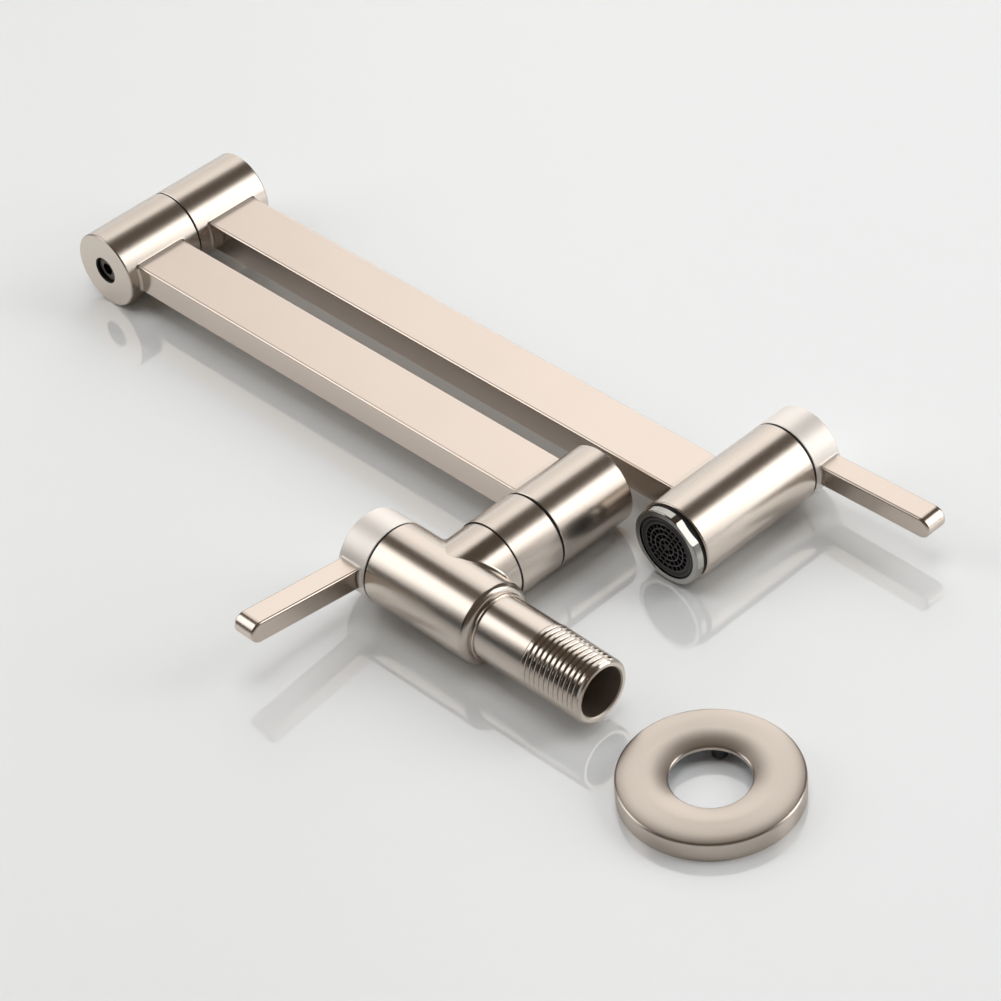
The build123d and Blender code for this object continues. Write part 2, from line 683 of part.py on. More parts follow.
def make_headworks(name, seat):
    """The quarter-turn ceramic headworks behind a handle seam, from the seat seal up to the handle."""
    axis = Axis(seat.origin, seat.z_dir)
    fixed_disc_top = seat_seal_thickness + disc_thickness - cartridge_depth
    moving_disc_bottom = fixed_disc_top + lapped_gap
    moving_disc_top = moving_disc_bottom + disc_thickness
    foot_top = moving_disc_top + stem_foot_thickness
    neck_bottom = -bonnet_depth - cartridge_neck_length
    chamber = disc_radius + running_fit
    hub_top = handle_seam + hub_length
    stem_top = hub_top - hub_roof_thickness

    with BuildPart() as seat_seal:
        with BuildSketch(seat.offset(-cartridge_depth)):
            Circle(disc_radius)
            Circle(seat_seal_bore_radius, mode=Mode.SUBTRACT)
        extrude(amount=seat_seal_thickness)
    finish(seat_seal, f"{name}_seat_seal")

    with BuildPart() as fixed_disc:
        with BuildSketch(seat.offset(fixed_disc_top)):
            Circle(disc_radius)
            with Locations((0, disc_port_distance), (0, -disc_port_distance)):
                Circle(disc_port_radius, mode=Mode.SUBTRACT)
        extrude(amount=-disc_thickness)
    finish(fixed_disc, f"{name}_fixed_disc")

    with BuildPart() as moving_disc:
        with BuildSketch(seat.offset(moving_disc_bottom)):
            Circle(disc_radius)
            with Locations((disc_port_distance, 0), (-disc_port_distance, 0)):
                Circle(disc_port_radius, mode=Mode.SUBTRACT)
        extrude(amount=disc_thickness)
        with BuildSketch(seat.offset(moving_disc_top)):
            Rectangle(tongue_width + 2 * fixed_fit, tongue_length + 2 * fixed_fit)
        extrude(amount=-tongue_depth, mode=Mode.SUBTRACT)
    finish(moving_disc, f"{name}_moving_disc")

    with BuildPart() as cartridge:
        with BuildSketch(turning_plane(seat)):
            with BuildLine():
                Polyline(
                    (chamber, -cartridge_depth),
                    (cartridge_radius, -cartridge_depth),
                    (cartridge_radius, cartridge_land_length - cartridge_depth),
                    (waist_radius, cartridge_land_length - cartridge_depth),
                    (waist_radius, neck_bottom),
                    (cartridge_radius, neck_bottom),
                    (cartridge_radius, -bonnet_depth),
                    (stem_radius + running_fit, -bonnet_depth),
                    (stem_radius + running_fit, neck_bottom),
                    (chamber, neck_bottom),
                    close=True,
                )
            make_face()
        revolve(axis=axis)
        with BuildSketch(Plane(seat.origin, x_dir=seat.y_dir, z_dir=seat.x_dir)):
            with Locations((0, neck_bottom - side_window_height / 2)):
                Rectangle(side_window_width, side_window_height - 2 * running_fit)
        extrude(amount=cartridge_radius, both=True, mode=Mode.SUBTRACT)
    finish(cartridge, f"{name}_cartridge")

    seal_depth = neck_bottom + cartridge_neck_length / 2
    with BuildPart() as stem:
        with BuildSketch(seat.offset(moving_disc_top)):
            Circle(disc_radius - running_fit)
            with Locations((disc_port_distance, 0), (-disc_port_distance, 0)):
                Circle(disc_port_radius, mode=Mode.SUBTRACT)
        extrude(amount=stem_foot_thickness)
        with BuildSketch(seat.offset(moving_disc_top)):
            Rectangle(tongue_width, tongue_length)
        extrude(amount=-(tongue_depth - fixed_fit))
        with BuildSketch(seat.offset(foot_top)):
            Circle(stem_radius)
        extrude(amount=stem_top - foot_top)
        with BuildSketch(seat.offset(stem_top)):
            with Locations((-stem_flat_distance - stem_radius, 0)):
                Rectangle(2 * stem_radius, 2 * stem_radius)
        extrude(amount=-(stem_top - handle_seam), mode=Mode.SUBTRACT)
        with BuildSketch(seat.offset(seal_depth)):
            Circle(stem_radius)
            Circle(stem_radius - stem_groove_depth, mode=Mode.SUBTRACT)
        extrude(amount=seal_half_width, both=True, mode=Mode.SUBTRACT)
    finish(stem, f"{name}_stem")

    with BuildPart() as stem_seal:
        with BuildSketch(turning_plane(seat)):
            with Locations((stem_radius - stem_groove_depth / 2, seal_depth)):
                Circle(stem_seal_section_radius)
        revolve(axis=axis)
    finish(stem_seal, f"{name}_stem_seal")

    with BuildPart() as bonnet_nut:
        with BuildSketch(seat.offset(-bonnet_depth)):
            Circle(mouth_radius - running_fit)
            Circle(stem_radius + end_gap, mode=Mode.SUBTRACT)
        extrude(amount=bonnet_depth - bonnet_sink_depth)
        with BuildSketch(seat.offset(-bonnet_sink_depth)):
            RegularPolygon(bonnet_key_radius, 6)
        extrude(amount=-bonnet_key_depth, mode=Mode.SUBTRACT)
    finish(bonnet_nut, f"{name}_bonnet_nut")

    with BuildPart() as glide_ring:
        with BuildSketch(seat):
            Circle(tube_radius - glide_ring_inset)
            Circle(tube_radius - glide_ring_inset - glide_ring_width, mode=Mode.SUBTRACT)
        extrude(amount=handle_seam - running_fit)
    finish(glide_ring, f"{name}_glide_ring")

    lever_middle = hub_top - lever_inset - lever_thickness / 2
    tip_radius = lever_height / 2
    lever_plane = Plane(seat.offset(lever_middle).origin, x_dir=seat.y_dir, z_dir=seat.x_dir)
    tip_plane = lever_plane.offset(lever_reach - tip_radius)
    grub_plane = Plane(seat.origin, x_dir=-seat.y_dir, z_dir=-seat.x_dir)
    with BuildPart() as handle:
        with BuildSketch(turning_plane(seat)) as hub_profile:
            with Locations((tube_radius / 2, handle_seam + hub_length / 2)):
                Rectangle(tube_radius, hub_length)
            fillet(hub_profile.vertices().group_by(Axis.Y)[-1].sort_by(Axis.X)[-1], edge_round)
            chamfer(hub_profile.vertices().group_by(Axis.Y)[0].sort_by(Axis.X)[-1], seam_chamfer)
        revolve(axis=axis)
        with BuildSketch(lever_plane):
            RectangleRounded(lever_height, lever_thickness, lever_round)
        extrude(amount=lever_reach - tip_radius)
        fillet(lever_root_edges(handle, seat, lever_middle), lever_root_round)
        with BuildSketch(tip_plane) as tip_profile:
            with Locations((tip_radius / 2, 0)):
                Rectangle(tip_radius, lever_thickness)
            fillet(tip_profile.vertices().group_by(Axis.X)[-1], lever_round)
        revolve(axis=Axis(tip_plane.origin, -seat.z_dir), revolution_arc=180)
        with BuildSketch(seat.offset(handle_seam)):
            Circle(hub_recess_radius)
        extrude(amount=hub_recess_depth, mode=Mode.SUBTRACT)
        with BuildSketch(seat.offset(handle_seam)):
            Circle(stem_radius + fixed_fit)
        extrude(amount=stem_top - handle_seam, mode=Mode.SUBTRACT)
        with BuildSketch(grub_plane):
            with Locations((0, grub_height)):
                Circle(grub_radius + fixed_fit)
        extrude(amount=tube_radius, mode=Mode.SUBTRACT)
    finish(handle, f"{name}_handle")

    with BuildPart() as grub_screw:
        with BuildSketch(grub_plane.offset(stem_flat_distance)):
            with Locations((0, grub_height)):
                Circle(grub_radius)
        extrude(amount=tube_radius - screw_sink_depth - stem_flat_distance)
        with BuildSketch(grub_plane.offset(tube_radius - screw_sink_depth)):
            with Locations((0, grub_height)):
                RegularPolygon(hex_key_radius, 6)
        extrude(amount=-hex_key_depth, mode=Mode.SUBTRACT)
    finish(grub_screw, f"{name}_grub_screw")


make_headworks("valve", valve_seat)
make_headworks("spout", spout_seat)

# Escutcheon: a thin pressed ring with an upright rim and a crown that falls to the hole
escutcheon_base = Plane(origin=(escutcheon_x, escutcheon_y, table_z))
escutcheon_profile = Plane(origin=escutcheon_base.origin, x_dir=(1, 0, 0), z_dir=(0, -1, 0))
crown_run = escutcheon_radius - escutcheon_crest_radius
crown_drop = escutcheon_crest_height - escutcheon_rim_height
crown_radius = (crown_run**2 + crown_drop**2) / (2 * crown_drop)
lip_run = escutcheon_crest_radius - escutcheon_hole_radius
lip_radius = (lip_run**2 + escutcheon_lip_drop_height**2) / (2 * escutcheon_lip_drop_height)
under_crest = escutcheon_crest_height - escutcheon_wall_thickness
inner_radius = escutcheon_radius - escutcheon_wall_thickness
inner_run = inner_radius - escutcheon_crest_radius
inner_crown_radius = crown_radius - escutcheon_wall_thickness
inner_rim = escutcheon_crest_height - crown_radius + sqrt(inner_crown_radius**2 - inner_run**2)
lip_share = (lip_radius - escutcheon_wall_thickness) / lip_radius
lip_level = escutcheon_crest_height - escutcheon_lip_drop_height
under_lip = (
    escutcheon_crest_radius - lip_run * lip_share,
    escutcheon_crest_height - lip_radius + (lip_radius - escutcheon_lip_drop_height) * lip_share,
)
with BuildPart() as escutcheon:
    with BuildSketch(escutcheon_profile) as pressing:
        with BuildLine():
            crest = (escutcheon_crest_radius, escutcheon_crest_height)
            lower_crest = (escutcheon_crest_radius, under_crest)
            Line((escutcheon_radius, 0), (escutcheon_radius, escutcheon_rim_height))
            TangentArc(crest, (escutcheon_radius, escutcheon_rim_height), tangent=(1, 0))
            TangentArc(crest, (escutcheon_hole_radius, lip_level), tangent=(-1, 0))
            Line((escutcheon_hole_radius, lip_level), under_lip)
            TangentArc(lower_crest, under_lip, tangent=(-1, 0))
            TangentArc(lower_crest, (inner_radius, inner_rim), tangent=(1, 0))
            Line((inner_radius, inner_rim), (inner_radius, 0))
            Line((inner_radius, 0), (escutcheon_radius, 0))
        make_face()
        rim_corner = pressing.vertices().sort_by(Axis.X)[-2:].sort_by(Axis.Y)[-1]
        fillet(rim_corner, escutcheon_edge_round)
    revolve(axis=Axis(escutcheon_base.origin, (0, 0, 1)))
    tab_distance = escutcheon_hole_radius + end_gap + tab_radius
    with BuildSketch(escutcheon_base.offset(lip_level - running_fit)):
        with PolarLocations(tab_distance, 1, start_angle=tab_angle):
            Circle(tab_radius)
    extrude(amount=-tab_length)
finish(escutcheon, "escutcheon")

# Plate seal: the white foam ring inside the escutcheon that meets the wall
with BuildPart() as plate_seal:
    with BuildSketch(escutcheon_base):
        Circle(inner_radius - fixed_fit)
        Circle(plate_seal_radius, mode=Mode.SUBTRACT)
    extrude(amount=plate_seal_height)
finish(plate_seal, "plate_seal")
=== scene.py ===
# %% [markdown]
# # A folding kitchen tap in brushed nickel
# The tap is a pot filler: a valve that screws into the wall, two flat arms that fold at an elbow, and a
# spout with its own valve. The solids were drawn first, in millimetres, and come in here as a fixed frame
# in metres. This lesson adds what a drawing of solids leaves out: the metal's brushing, the pipe thread,
# the light. A few places are needed more than once, so they are named here.

# %% Open the frame
from math import cos, pi, radians, sin, tan

import bmesh
import bpy
import numpy as np
from mathutils import Matrix, Vector


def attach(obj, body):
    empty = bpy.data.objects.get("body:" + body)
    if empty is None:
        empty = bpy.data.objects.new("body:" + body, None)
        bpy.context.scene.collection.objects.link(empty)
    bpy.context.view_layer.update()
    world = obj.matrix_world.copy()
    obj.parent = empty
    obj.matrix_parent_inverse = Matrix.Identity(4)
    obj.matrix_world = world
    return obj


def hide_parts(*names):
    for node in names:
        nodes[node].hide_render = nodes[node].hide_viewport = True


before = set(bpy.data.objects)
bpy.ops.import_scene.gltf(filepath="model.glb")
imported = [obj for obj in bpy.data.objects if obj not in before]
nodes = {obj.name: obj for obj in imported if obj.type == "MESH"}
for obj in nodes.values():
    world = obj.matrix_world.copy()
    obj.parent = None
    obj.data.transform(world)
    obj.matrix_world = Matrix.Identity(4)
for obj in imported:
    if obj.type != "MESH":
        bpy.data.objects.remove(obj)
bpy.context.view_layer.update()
SPOUT_X = -0.006
PLATE_X, PLATE_Y = 0.0614, 0.0009
TABLE_Z = -0.013

# %% [markdown]
# ## The camera
# The photograph was taken from above the inlet's end with a long lens, so parallel edges hardly converge.
# A camera can be set by eye, but here its place, aim and roll were worked out from points on the housings'
# rims. The aim is the point at the level of the tubes' axes that falls in the centre of the picture.

# %% Set the camera
CAMERA_PLACE = Vector((0.5245, -0.4731, 0.65645))
CAMERA_AIM = Vector((-0.0577, 0.0395, 0.0))
CAMERA_ROLL = radians(-5.36)
SENSOR_MM = 36.0
LENS_MM = 123.74

camera_data = bpy.data.cameras.new("long_lens")
camera_data.sensor_width = SENSOR_MM
camera_data.lens = LENS_MM
camera = bpy.data.objects.new("long_lens", camera_data)
towards = (CAMERA_AIM - CAMERA_PLACE).to_track_quat("-Z", "Y").to_matrix().to_4x4()
camera.matrix_world = Matrix.Translation(CAMERA_PLACE) @ towards @ Matrix.Rotation(CAMERA_ROLL, 4, "Z")
bpy.context.scene.collection.objects.link(camera)
bpy.context.scene.camera = camera
bpy.context.scene.view_settings.view_transform = "Standard"
print("camera", round((CAMERA_AIM - CAMERA_PLACE).length, 3), "m from its aim")

# %% [markdown]
# ## Small tools for materials
# Colours are picked as the hex values that a screen shows, but a shader works in linear light, so one
# function turns the first into the second. Another adds a node, sets its values and links its inputs in one
# call. Two more use it to mix two colours and to start a new material.

# %% Colour and node helpers
def linear(hex_colour):
    """sRGB hex to linear RGBA.

    Up to 0.04045 it is the value over 12.92, above that (value + 0.055) / 1.055 to the power 2.4.
    """
    part = np.array([int(hex_colour[i:i + 2], 16) for i in (1, 3, 5)]) / 255
    lit = np.where(part <= 0.04045, part / 12.92, ((part + 0.055) / 1.055) ** 2.4)
    return (*lit.tolist(), 1.0)


def add(tree, kind, links=None, **settings):
    """Add a node. A setting is an attribute or an input's value, and links gives inputs their sources."""
    node = tree.nodes.new(kind)
    for key, value in settings.items():
        if hasattr(node, key):
            setattr(node, key, value)
        else:
            node.inputs[key.replace("_", " ")].default_value = value
    for key, source in (links or {}).items():
        tree.links.new(source, node.inputs[key])
    return node


def blend(tree, share, hex_colours):
    """A colour that goes from the first to the second of two hex colours as the share goes from 0 to 1."""
    first, second = map(linear, hex_colours)
    mix = add(tree, "ShaderNodeMix", {"Factor": share}, data_type="RGBA", A=first, B=second)
    return mix.outputs["Result"]


def new_material(name):
    """An empty material, its tree to build in, and the place in the object's own coordinates."""
    material = bpy.data.materials.new(name)
    material.use_nodes = True
    tree = material.node_tree
    tree.nodes.clear()
    return material, tree, add(tree, "ShaderNodeTexCoord").outputs["Object"]


print("helpers ready")

# %% [markdown]
# ## A nickel shader
# The housings are brass, plated with nickel and brushed. Brushing leaves hair-fine grooves in one
# direction, which blur every reflection and give the satin look. A texture painted along the grooves would
# show seams, so a solid noise is used instead, squeezed hard across the grooves and pulled long along them.
# Real grooves are about 0.05 mm apart, too fine for this picture, so they are drawn at 0.25 mm.
# The shader takes such a noise and makes metal of it, for the straight and for the circular brushing.

# %% Make the nickel shader
NICKEL = ("#D0C6BC", "#CBC0B5")
BAR_NICKEL = ("#D2C5BA", "#CDC0B4")
DARK_NICKEL = ("#A9A7A2", "#A2A09B")
GROOVE_MM, GROOVE_RUN_MM = 0.25, 16.0
CLOUD_MM = 24.0
GLOSS_SWING = 0.015
NOISE_LOW, NOISE_HIGH = 0.3, 0.7
GROOVE_BLUR = 0.4
NUDGE = (0.05, 0.03, 0.04)


def groove_noise(tree, grain):
    """Noise over coordinates that count grooves across and runs along."""
    noise = add(tree, "ShaderNodeTexNoise", {"Vector": grain}, Scale=1.0, Detail=3.0, Roughness=0.6)
    return noise.outputs["Fac"]


def nudged(tree, way):
    """A direction with a small fixed vector added, so that it doesn't vanish on flat ends."""
    nudge = add(tree, "ShaderNodeVectorMath", {0: way}, operation="ADD")
    nudge.inputs[1].default_value = NUDGE
    return nudge.outputs[0]


def nickel_shader(tree, place, grooves, across, roughness, groove_depth_mm, colours, blur=GROOVE_BLUR):
    """Nickel over a groove pattern, which moves the roughness a little and gives a shallow relief.

    The shader's tangent is the direction across the grooves, because they blur reflections most that way.
    """
    clouds = add(tree, "ShaderNodeTexNoise", {"Vector": place}, Scale=1000 / CLOUD_MM, Detail=2.0)
    gloss = add(tree, "ShaderNodeMapRange", {"Value": grooves}, From_Min=NOISE_LOW, From_Max=NOISE_HIGH,
                To_Min=roughness - GLOSS_SWING, To_Max=roughness + GLOSS_SWING)
    relief = add(tree, "ShaderNodeBump", {"Height": grooves}, Distance=groove_depth_mm / 1000)
    metal = add(tree, "ShaderNodeBsdfPrincipled", {
        "Base Color": blend(tree, clouds.outputs["Fac"], colours),
        "Roughness": gloss.outputs["Result"],
        "Normal": relief.outputs["Normal"],
        "Tangent": across,
    }, Metallic=1.0, Anisotropic=blur)
    add(tree, "ShaderNodeOutputMaterial", {"Surface": metal.outputs[0]})
    return metal


print("grooves", GROOVE_MM, "mm apart")

# %% [markdown]
# ## Pale hubs
# In the photograph the handles' round hubs are paler and duller than their levers. Here the hubs are given
# a paler colour, more roughness and half metal, so that they scatter a part of the light. Hub and lever are
# one solid, so this finish is laid by distance: it covers what is within the hub's radius of the hub's axis,
# and ends over a short step at the lever's root.

# %% Make a hub pale
PALE_HUB_COLOUR = "#F8F2EB"
HUB_MM = 13.0
PALE_FULL_MM, PALE_GONE_MM = 0.1, 0.8
PALE_HUB_DULLS = 0.2
PALE_HUB_METAL = 0.5


def pale_hub(tree, metal, place, on_axis, keep):
    """Paler, duller and half metal within the hub's radius of its axis, bare metal beyond it.

    The distance is the length of the way from the axis. Keep is 0 along the axis and 1 across it.
    """
    axis = [-value for value in on_axis]
    off_axis = add(tree, "ShaderNodeMapping", {"Vector": place}, Location=axis, Scale=keep)
    reach = add(tree, "ShaderNodeVectorMath", {0: off_axis.outputs[0]}, operation="LENGTH")
    paleness = add(tree, "ShaderNodeMapRange", {"Value": reach.outputs["Value"]},
                  interpolation_type="SMOOTHSTEP", From_Min=(HUB_MM + PALE_GONE_MM) / 1000,
                  From_Max=(HUB_MM + PALE_FULL_MM) / 1000)
    share = paleness.outputs["Result"]
    bare_colour = metal.inputs["Base Color"].links[0].from_socket
    bare_gloss = metal.inputs["Roughness"].links[0].from_socket
    tint = add(tree, "ShaderNodeMix", {"Factor": share}, data_type="RGBA", B=linear(PALE_HUB_COLOUR))
    tree.links.new(bare_colour, tint.inputs["A"])
    tree.links.new(tint.outputs["Result"], metal.inputs["Base Color"])
    dull = add(tree, "ShaderNodeMath", {0: share, 2: bare_gloss}, operation="MULTIPLY_ADD")
    dull.inputs[1].default_value = PALE_HUB_DULLS
    tree.links.new(dull.outputs[0], metal.inputs["Roughness"])
    metallic = add(tree, "ShaderNodeMapRange", {"Value": share}, To_Min=1.0, To_Max=PALE_HUB_METAL)
    tree.links.new(metallic.outputs["Result"], metal.inputs["Metallic"])


print("lacquer within", HUB_MM, "mm of a hub's axis")

# %% [markdown]
# ## Nickel brushed in straight lines
# Each housing was brushed along its own axis. The noise is turned so that its long direction lies on that
# line. The direction across the grooves follows the surface: it is at right angles to the line and to the
# surface's normal. On the flat ends those two are parallel and it would vanish, which is why a small vector
# is added to it.

# %% Make the straight-brushed nickel
def brushed_nickel(name, along, roughness, groove_depth_mm, colours=NICKEL, hub=None):
    """Nickel brushed in a line: noise of one groove's width across the line and of a long run along it.

    The direction across the grooves is the cross product of that line and the surface's normal.
    """
    material, tree, place = new_material(name)
    turn = Vector(along).rotation_difference(Vector((1, 0, 0))).to_euler()
    stretch = (1000 / GROOVE_RUN_MM, 1000 / GROOVE_MM, 1000 / GROOVE_MM)
    turned_place = add(tree, "ShaderNodeMapping", {"Vector": place}, Rotation=turn)
    grain = add(tree, "ShaderNodeMapping", {"Vector": turned_place.outputs[0]}, Scale=stretch)
    line = add(tree, "ShaderNodeVectorTransform", vector_type="VECTOR", convert_from="OBJECT",
               convert_to="WORLD", Vector=along)
    normal = add(tree, "ShaderNodeNewGeometry").outputs["Normal"]
    cross = add(tree, "ShaderNodeVectorMath", {0: line.outputs[0], 1: normal}, operation="CROSS_PRODUCT")
    metal = nickel_shader(tree, place, groove_noise(tree, grain.outputs[0]), nudged(tree, cross.outputs[0]),
                          roughness, groove_depth_mm, colours)
    if hub:
        pale_hub(tree, metal, place, *hub)
    return material


UPRIGHT, LENGTHWISE = (0, 1, 0), (1, 0, 0)
VALVE_HUB, SPOUT_HUB = ((0, 0, 0), (0, 1, 1)), ((SPOUT_X, 0, 0), (1, 0, 1))
housing_nickel = brushed_nickel("brushed_nickel_upright", UPRIGHT, 0.24, 0.0015)
valve_nickel = brushed_nickel("brushed_nickel_lengthwise", LENGTHWISE, 0.22, 0.0015)
bar_nickel = brushed_nickel("brushed_nickel_bar", LENGTHWISE, 0.17, 0.0003, BAR_NICKEL)
handle_nickel = brushed_nickel("pale_hub_nickel_lengthwise", LENGTHWISE, 0.22, 0.0005, BAR_NICKEL,
                               VALVE_HUB)
spout_handle_nickel = brushed_nickel("pale_hub_nickel_upright", UPRIGHT, 0.22, 0.0005, BAR_NICKEL,
                                     SPOUT_HUB)
thread_nickel = brushed_nickel("bright_nickel_thread", LENGTHWISE, 0.15, 0.0005)
ring_nickel = brushed_nickel("polished_nickel_ring", UPRIGHT, 0.08, 0.0002, DARK_NICKEL)
bore_nickel = brushed_nickel("bored_nickel", LENGTHWISE, 0.5, 0.001)
print("straight-brushed nickel ready")

# %% [markdown]
# ## Nickel brushed in circles
# The wall plate was spun against the brush, so its grooves run round the hole. The same noise is used with
# other coordinates: the distance from the plate's axis in place of the width across the grooves, and the
# direction from that axis, which has no seam, in place of the length along them.

# %% Make the spun nickel
PLATE_MIDDLE_MM = 19.0
SPUN_BLUR = 0.65


def spun_nickel(name, roughness, groove_depth_mm):
    """Nickel brushed round the plate's axis: noise over the way out from the axis and the distance."""
    material, tree, place = new_material(name)
    centre = (-PLATE_X, -PLATE_Y, 0)
    centred = add(tree, "ShaderNodeMapping", {"Vector": place}, Location=centre)
    flat = add(tree, "ShaderNodeMapping", {"Vector": centred.outputs[0]}, Scale=(1, 1, 0))
    reach = add(tree, "ShaderNodeVectorMath", {0: flat.outputs[0]}, operation="LENGTH")
    way = add(tree, "ShaderNodeVectorMath", {0: flat.outputs[0]}, operation="NORMALIZE").outputs[0]
    runs = PLATE_MIDDLE_MM / GROOVE_RUN_MM
    round_way = add(tree, "ShaderNodeMapping", {"Vector": way}, Scale=(runs, runs, 0))
    split = add(tree, "ShaderNodeSeparateXYZ", {"Vector": round_way.outputs[0]})
    count = add(tree, "ShaderNodeMath", {0: reach.outputs["Value"]}, operation="MULTIPLY")
    count.inputs[1].default_value = 1000 / GROOVE_MM
    grain = add(tree, "ShaderNodeCombineXYZ", {
        "X": split.outputs["X"], "Y": split.outputs["Y"], "Z": count.outputs[0],
    })
    nickel_shader(tree, place, groove_noise(tree, grain.outputs[0]), nudged(tree, way),
                  roughness, groove_depth_mm, NICKEL, SPUN_BLUR)
    return material


plate_nickel = spun_nickel("spun_brushed_nickel_plate", 0.30, 0.0015)
print("spun nickel ready")

# %% [markdown]
# ## The plain materials
# Rubber rings, an acetal washer, a moulded grille, brass and ceramic inside: each is one dull or glossy
# colour with a little grain. One function makes them all from two near colours, a grain size and a
# roughness.

# %% Make the plain materials
def mottled(name, hex_colour, hex_second, grain_mm, roughness, metallic=0.0, depth_mm=0.01):
    """Two near colours mixed by noise of one grain's size, which also gives a slight relief."""
    material, tree, place = new_material(name)
    grain = add(tree, "ShaderNodeTexNoise", {"Vector": place}, Scale=1000 / grain_mm, Detail=3.0)
    relief = add(tree, "ShaderNodeBump", {"Height": grain.outputs["Fac"]}, Distance=depth_mm / 1000)
    surface = add(tree, "ShaderNodeBsdfPrincipled", {
        "Base Color": blend(tree, grain.outputs["Fac"], (hex_colour, hex_second)),
        "Normal": relief.outputs["Normal"],
    }, Metallic=metallic, Roughness=roughness)
    add(tree, "ShaderNodeOutputMaterial", {"Surface": surface.outputs[0]})
    return material


moulded_rubber = mottled("moulded_nitrile_rubber", "#0D0D0D", "#161514", 0.3, 0.6)
moulded_acetal = mottled("machined_black_acetal", "#060606", "#0A0A09", 0.5, 0.6)
# The grille and its ribs are one dark plastic in two tones: the grille near black, painted shade for its
# cells and its border, and the ribs paler, a painted highlight along the ring webs.
grille_plastic_and_painted_shade = mottled("moulded_dark_plastic_and_painted_shade", "#141314", "#1A1919", 0.4, 0.4)
rib_painted_highlight = mottled("moulded_plastic_ribs_painted_highlight", "#454142", "#4D494A", 0.4, 0.35)
turned_brass = mottled("turned_brass", "#B9924F", "#C49E5C", 0.6, 0.3, metallic=1.0)
lapped_ceramic = mottled("lapped_alumina_ceramic", "#E6E4DE", "#F0EEE9", 0.5, 0.2)
cut_foam = mottled("cut_white_foam", "#F1F2F4", "#E6E8EC", 0.4, 0.9, depth_mm=0.05)
# The tab's dark grey is painted shade, for the shade under the plate's crown.
tab_painted_shade = mottled("tab_grey_painted_shade", "#2A2B2E", "#333438", 0.4, 0.5)
# The plate's back is a pale bluish grey, which also dims the light bounced into the hole.
plate_back_grey = mottled("pale_bluish_grey_back", "#C4C9D2", "#BBC0CA", 1.0, 0.5)
stainless = mottled("stainless_steel_screw", "#B8B5B0", "#C4C1BC", 0.4, 0.25, metallic=1.0)
# The elbow screw's head is darkened as painted shade, so that its recess reads dark.
screw_painted_recess_shade = mottled("screw_steel_painted_recess_shade", "#4A443E", "#544E48", 0.4, 0.3, metallic=1.0)
print("plain materials ready")

# %% [markdown]
# ## Dressing the solids
# Every solid gets one material. A list for each material shows at a glance which pieces share a finish.

# %% Dress the solids
FINISH = {
    housing_nickel: ["swivel_collar", "knuckle", "elbow_lower", "elbow_upper", "spout_body"],
    valve_nickel: ["valve_body", "inlet_nipple"],
    plate_nickel: ["escutcheon"],
    bar_nickel: ["lower_bar", "upper_bar"],
    handle_nickel: ["valve_handle"],
    spout_handle_nickel: ["spout_handle"],
    ring_nickel: ["aerator_ring"],
    turned_brass: ["swivel_post", "elbow_post", "valve_cartridge", "spout_cartridge", "valve_bonnet_nut",
                   "spout_bonnet_nut", "valve_stem", "spout_stem"],
    lapped_ceramic: ["valve_fixed_disc", "valve_moving_disc", "spout_fixed_disc", "spout_moving_disc"],
    moulded_rubber: ["swivel_seals", "elbow_seals", "valve_seat_seal", "spout_seat_seal", "valve_stem_seal",
                     "spout_stem_seal", "aerator_gasket"],
    # Here the elbow screw's bush lines its recess in black: painted shade in the recess.
    moulded_acetal: ["swivel_washer", "elbow_washer", "valve_glide_ring", "spout_glide_ring",
                     "elbow_screw_bush"],
    cut_foam: ["plate_seal"],
    grille_plastic_and_painted_shade: ["aerator_grille", "aerator_strainer"],
    stainless: ["knuckle_screw", "valve_grub_screw", "spout_grub_screw"],
    screw_painted_recess_shade: ["elbow_screw"],
}
for material, names in FINISH.items():
    for name in names:
        nodes[name].data.materials.clear()
        nodes[name].data.materials.append(material)
print(sum(len(names) for names in FINISH.values()), "solids dressed")

# %% [markdown]
# ## Turned pieces
# All the pieces added to the tap but one are turned: a profile carried round an axis and closed on itself.
# Blender can spin a profile, but a turned piece is simply a grid of points with rows along the profile and
# columns round the axis, and a grid also lets the radius change round the axis, as the thread needs.

# %% Make a tool for turned pieces
X_AXIS, Y_AXIS, Z_AXIS = 0, 1, 2


def closed_grid(name, points, sharp_degrees):
    """A smooth mesh object from rows and columns of points, closed on itself both ways.

    Faces that meet at more than the given angle keep a sharp edge.
    """
    rows, columns = points.shape[:2]
    row, column = np.meshgrid(np.arange(rows), np.arange(columns), indexing="ij")
    next_row, next_column = (row + 1) % rows, (column + 1) % columns
    corner_rows = np.stack([row, row, next_row, next_row], axis=-1)
    corner_columns = np.stack([column, next_column, next_column, column], axis=-1)
    faces = (corner_rows * columns + corner_columns).reshape(-1, 4)
    mesh = bpy.data.meshes.new(name)
    mesh.from_pydata(points.reshape(-1, 3).tolist(), [], faces.tolist())
    mesh.polygons.foreach_set("use_smooth", np.ones(len(faces), dtype=bool))
    mesh.set_sharp_from_angle(angle=radians(sharp_degrees))
    piece = bpy.data.objects.new(name, mesh)
    bpy.context.scene.collection.objects.link(piece)
    return piece


def turned(name, along_mm, reach_mm, turn, axis, centre, sharp_degrees):
    """A piece turned about one of the three axes, through a centre in metres.

    Along the axis a point lies at its length, across it at its reach times the cosine and sine of its turn.
    """
    spread = [along_mm + 0 * turn, reach_mm * np.cos(turn), reach_mm * np.sin(turn)]
    points = np.stack(spread[-axis:] + spread[:-axis], axis=-1) / 1000 + np.array(centre)
    return closed_grid(name, points, sharp_degrees)


def turns(steps):
    """Equal steps of angle round a full turn, without the last, which is the first again."""
    return np.linspace(0, 2 * pi, steps, endpoint=False)


print("turning tools ready")

# %% [markdown]
# ## The pipe thread
# The inlet's end carries a half-inch pipe thread, 14 turns to the inch. The solid is a plain turned tube, so
# a new tube stands for it here. It could be made with a screw modifier, but a thread is simply a radius that
# depends on the place along the tube and on the angle round it.

